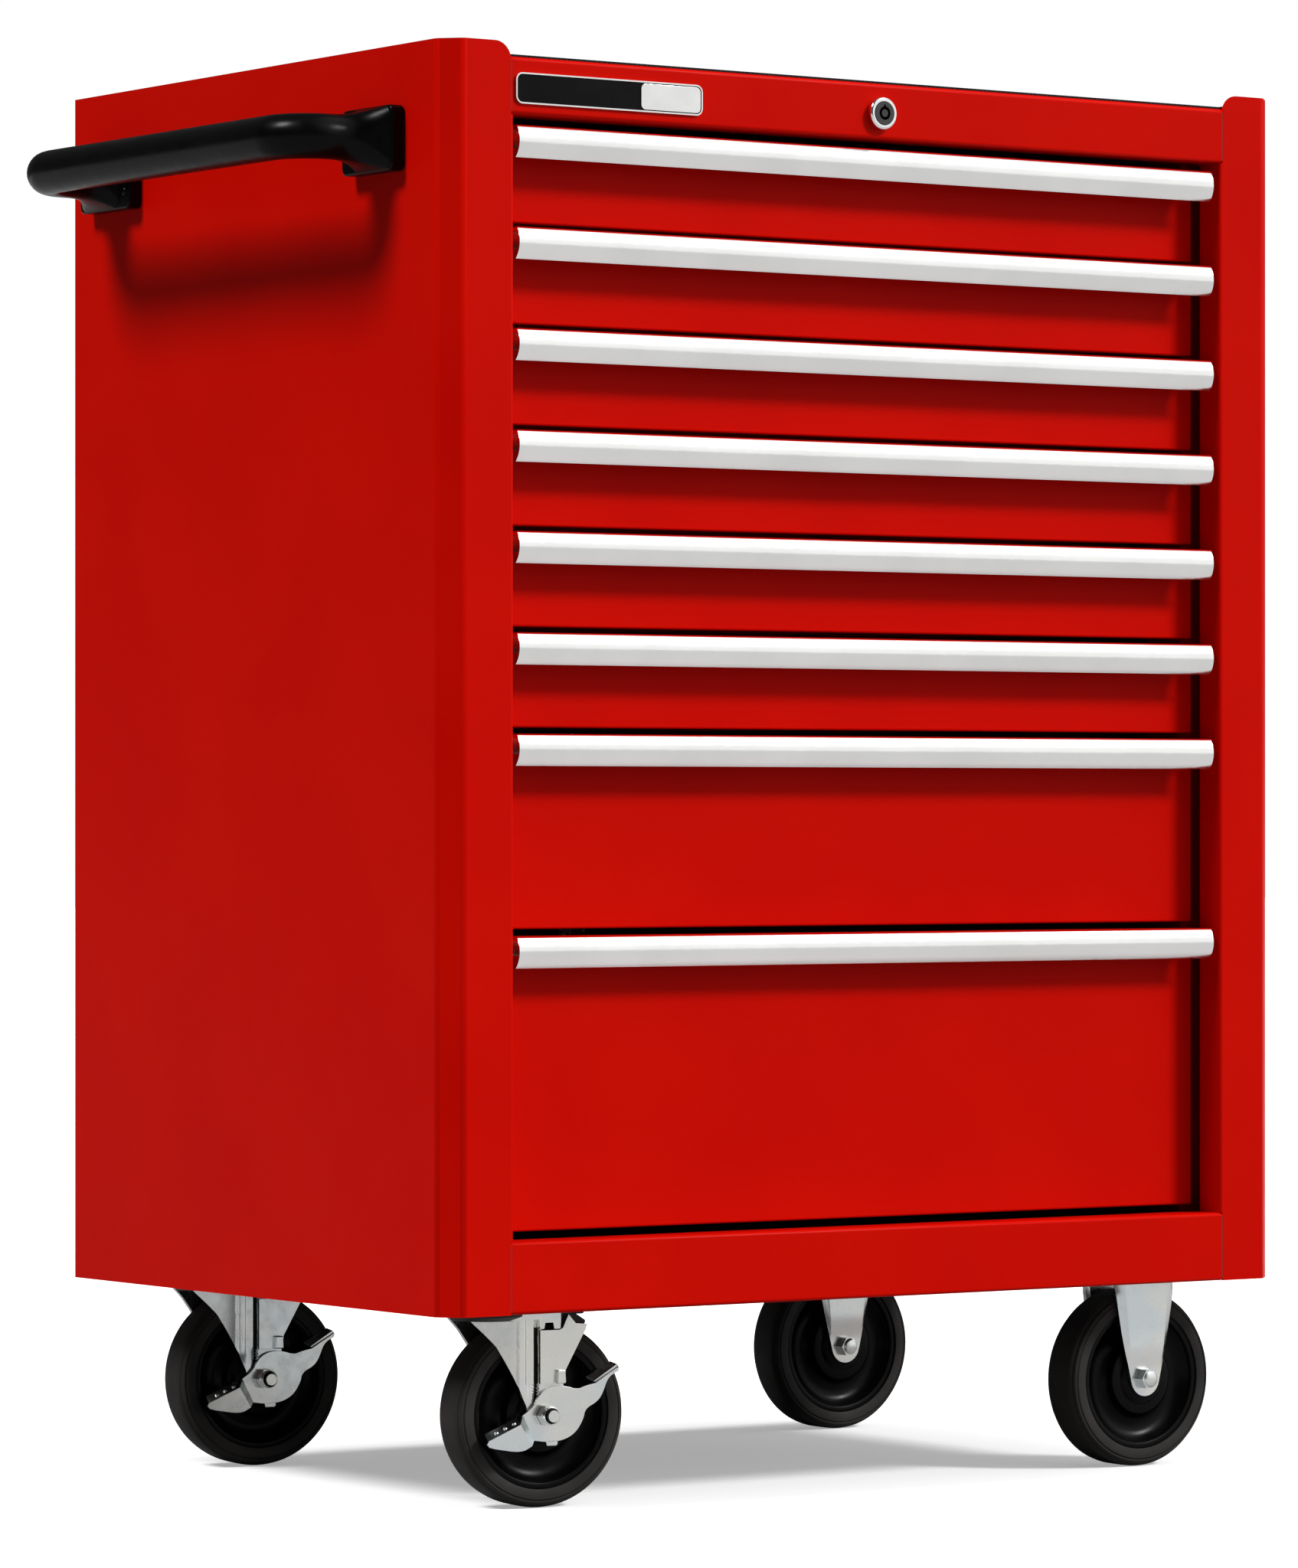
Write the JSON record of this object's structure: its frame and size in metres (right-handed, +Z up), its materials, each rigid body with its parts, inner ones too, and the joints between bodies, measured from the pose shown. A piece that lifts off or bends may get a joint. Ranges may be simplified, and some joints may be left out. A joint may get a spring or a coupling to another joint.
{
  "type": "rolling tool chest",
  "caption": "Steel roller cabinet with stacked pull-out drawers, a central lock, a side push handle, and fixed and braked swivel castors.",
  "frame": {"origin": "on the floor, under the centre of the outline covered by the chest and its push handle", "axes": "+Z up, -Y the way the drawers open, +X to the right when facing the drawers"},
  "size_m": [0.782, 0.494, 0.968],
  "materials": {
    "red_paint": "semi-gloss powder coat",
    "black_paint": "satin powder coat",
    "mat_rubber": "ribbed matt rubber",
    "anodised_aluminium": "satin anodised",
    "zinc_steel": "bright zinc plate",
    "grey_rubber": "matt solid rubber",
    "black_plastic": "satin moulded nylon",
    "chrome": "polished chrome",
    "black_lock": "dark plated lock face",
    "badge_metal": "black field with a bright rim"
  },
  "bodies": {
    "cabinet": {"left_side_panel": "red_paint", "right_side_panel": "red_paint", "back_panel": "red_paint", "top_panel": "red_paint", "top_mat": "mat_rubber", "bottom_rail": "red_paint", "floor_pan": "black_paint", "runner_uprights": "red_paint", "runner_outer_members": "zinc_steel", "lock_housing": "chrome", "badge_plate": "badge_metal", "push_handle_grip": "black_plastic", "push_handle_brackets": "black_plastic", "push_handle_screws": "zinc_steel", "fixed_castor_forks": "zinc_steel", "fixed_castor_axles": "zinc_steel", "swivel_castor_plates": "zinc_steel", "castor_bolts": "zinc_steel"},
    "drawer_1": {"drawer_1_tray": "red_paint", "drawer_1_handle": "anodised_aluminium"},
    "runner_1": {"runner_1_middle": "zinc_steel"},
    "drawer_2": {"drawer_2_tray": "red_paint", "drawer_2_handle": "anodised_aluminium"},
    "runner_2": {"runner_2_middle": "zinc_steel"},
    "drawer_3": {"drawer_3_tray": "red_paint", "drawer_3_handle": "anodised_aluminium"},
    "runner_3": {"runner_3_middle": "zinc_steel"},
    "drawer_4": {"drawer_4_tray": "red_paint", "drawer_4_handle": "anodised_aluminium"},
    "runner_4": {"runner_4_middle": "zinc_steel"},
    "drawer_5": {"drawer_5_tray": "red_paint", "drawer_5_handle": "anodised_aluminium"},
    "runner_5": {"runner_5_middle": "zinc_steel"},
    "drawer_6": {"drawer_6_tray": "red_paint", "drawer_6_handle": "anodised_aluminium"},
    "runner_6": {"runner_6_middle": "zinc_steel"},
    "drawer_7": {"drawer_7_tray": "red_paint", "drawer_7_handle": "anodised_aluminium"},
    "runner_7": {"runner_7_middle": "zinc_steel"},
    "drawer_8": {"drawer_8_tray": "red_paint", "drawer_8_handle": "anodised_aluminium"},
    "runner_8": {"runner_8_middle": "zinc_steel"},
    "front_swivel": {"front_swivel_fork": "zinc_steel", "front_swivel_axle": "zinc_steel"},
    "front_swivel_wheel": {"front_swivel_tyre": "grey_rubber", "front_swivel_rim": "black_plastic"},
    "front_brake": {"front_brake_lever": "zinc_steel"},
    "front_fixed_wheel": {"front_fixed_tyre": "grey_rubber", "front_fixed_rim": "black_plastic"},
    "rear_swivel": {"rear_swivel_fork": "zinc_steel", "rear_swivel_axle": "zinc_steel"},
    "rear_swivel_wheel": {"rear_swivel_tyre": "grey_rubber", "rear_swivel_rim": "black_plastic"},
    "rear_brake": {"rear_brake_lever": "zinc_steel"},
    "rear_fixed_wheel": {"rear_fixed_tyre": "grey_rubber", "rear_fixed_rim": "black_plastic"},
    "lock_plug": {"lock_core": "black_lock", "lock_rod": "zinc_steel"},
    "lock_bar": {"lock_bar": "zinc_steel"}
  },
  "joints": [
    {"name": "drawer_1_slide", "type": "slide", "parent": "cabinet", "child": "drawer_1", "axis": [0, -1, 0], "range_m": [0, 0.4]},
    {"name": "runner_1_slide", "type": "slide", "parent": "cabinet", "child": "runner_1", "axis": [0, -1, 0], "range_m": [0, 0.2]},
    {"name": "drawer_2_slide", "type": "slide", "parent": "cabinet", "child": "drawer_2", "axis": [0, -1, 0], "range_m": [0, 0.4]},
    {"name": "runner_2_slide", "type": "slide", "parent": "cabinet", "child": "runner_2", "axis": [0, -1, 0], "range_m": [0, 0.2]},
    {"name": "drawer_3_slide", "type": "slide", "parent": "cabinet", "child": "drawer_3", "axis": [0, -1, 0], "range_m": [0, 0.4]},
    {"name": "runner_3_slide", "type": "slide", "parent": "cabinet", "child": "runner_3", "axis": [0, -1, 0], "range_m": [0, 0.2]},
    {"name": "drawer_4_slide", "type": "slide", "parent": "cabinet", "child": "drawer_4", "axis": [0, -1, 0], "range_m": [0, 0.4]},
    {"name": "runner_4_slide", "type": "slide", "parent": "cabinet", "child": "runner_4", "axis": [0, -1, 0], "range_m": [0, 0.2]},
    {"name": "drawer_5_slide", "type": "slide", "parent": "cabinet", "child": "drawer_5", "axis": [0, -1, 0], "range_m": [0, 0.4]},
    {"name": "runner_5_slide", "type": "slide", "parent": "cabinet", "child": "runner_5", "axis": [0, -1, 0], "range_m": [0, 0.2]},
    {"name": "drawer_6_slide", "type": "slide", "parent": "cabinet", "child": "drawer_6", "axis": [0, -1, 0], "range_m": [0, 0.4]},
    {"name": "runner_6_slide", "type": "slide", "parent": "cabinet", "child": "runner_6", "axis": [0, -1, 0], "range_m": [0, 0.2]},
    {"name": "drawer_7_slide", "type": "slide", "parent": "cabinet", "child": "drawer_7", "axis": [0, -1, 0], "range_m": [0, 0.4]},
    {"name": "runner_7_slide", "type": "slide", "parent": "cabinet", "child": "runner_7", "axis": [0, -1, 0], "range_m": [0, 0.2]},
    {"name": "drawer_8_slide", "type": "slide", "parent": "cabinet", "child": "drawer_8", "axis": [0, -1, 0], "range_m": [0, 0.4]},
    {"name": "runner_8_slide", "type": "slide", "parent": "cabinet", "child": "runner_8", "axis": [0, -1, 0], "range_m": [0, 0.2]},
    {"name": "front_swivel_turn", "type": "hinge", "parent": "cabinet", "child": "front_swivel", "pos_m": [-0.236, -0.1765, 0.14], "axis": [0, 0, 1], "continuous": true},
    {"name": "front_swivel_wheel_spin", "type": "hinge", "parent": "front_swivel", "child": "front_swivel_wheel", "pos_m": [-0.20325, -0.18052, 0.0625], "axis": [0.1219, 0.9925, 0], "continuous": true},
    {"name": "front_brake_turn", "type": "hinge", "parent": "front_swivel", "child": "front_brake", "pos_m": [-0.20325, -0.18052, 0.0625], "axis": [0.1219, 0.9925, 0], "range_deg": [0, 22]},
    {"name": "front_fixed_wheel_spin", "type": "hinge", "parent": "cabinet", "child": "front_fixed_wheel", "pos_m": [0.307, -0.1765, 0.0625], "axis": [0, 1, 0], "continuous": true},
    {"name": "rear_swivel_turn", "type": "hinge", "parent": "cabinet", "child": "rear_swivel", "pos_m": [-0.236, 0.1825, 0.14], "axis": [0, 0, 1], "continuous": true},
    {"name": "rear_swivel_wheel_spin", "type": "hinge", "parent": "rear_swivel", "child": "rear_swivel_wheel", "pos_m": [-0.20325, 0.17848, 0.0625], "axis": [0.1219, 0.9925, 0], "continuous": true},
    {"name": "rear_brake_turn", "type": "hinge", "parent": "rear_swivel", "child": "rear_brake", "pos_m": [-0.20325, 0.17848, 0.0625], "axis": [0.1219, 0.9925, 0], "range_deg": [0, 22]},
    {"name": "rear_fixed_wheel_spin", "type": "hinge", "parent": "cabinet", "child": "rear_fixed_wheel", "pos_m": [0.307, 0.1825, 0.0625], "axis": [0, 1, 0], "continuous": true},
    {"name": "lock_bar_lift", "type": "slide", "parent": "cabinet", "child": "lock_bar", "axis": [0, 0, 1], "range_m": [0, 0.008]},
    {"name": "lock_turn", "type": "hinge", "parent": "cabinet", "child": "lock_plug", "pos_m": [0.041, -0.241, 0.9376], "axis": [0, -1, 0], "range_deg": [0, 90]}
  ],
  "couplings": [
    {"joint": "runner_1_slide", "follows": "drawer_1_slide", "ratio": 0.5},
    {"joint": "runner_2_slide", "follows": "drawer_2_slide", "ratio": 0.5},
    {"joint": "runner_3_slide", "follows": "drawer_3_slide", "ratio": 0.5},
    {"joint": "runner_4_slide", "follows": "drawer_4_slide", "ratio": 0.5},
    {"joint": "runner_5_slide", "follows": "drawer_5_slide", "ratio": 0.5},
    {"joint": "runner_6_slide", "follows": "drawer_6_slide", "ratio": 0.5},
    {"joint": "runner_7_slide", "follows": "drawer_7_slide", "ratio": 0.5},
    {"joint": "runner_8_slide", "follows": "drawer_8_slide", "ratio": 0.5},
    {"joint": "lock_turn", "follows": "lock_bar_lift", "rad_per_m": 196.3}
  ]
}
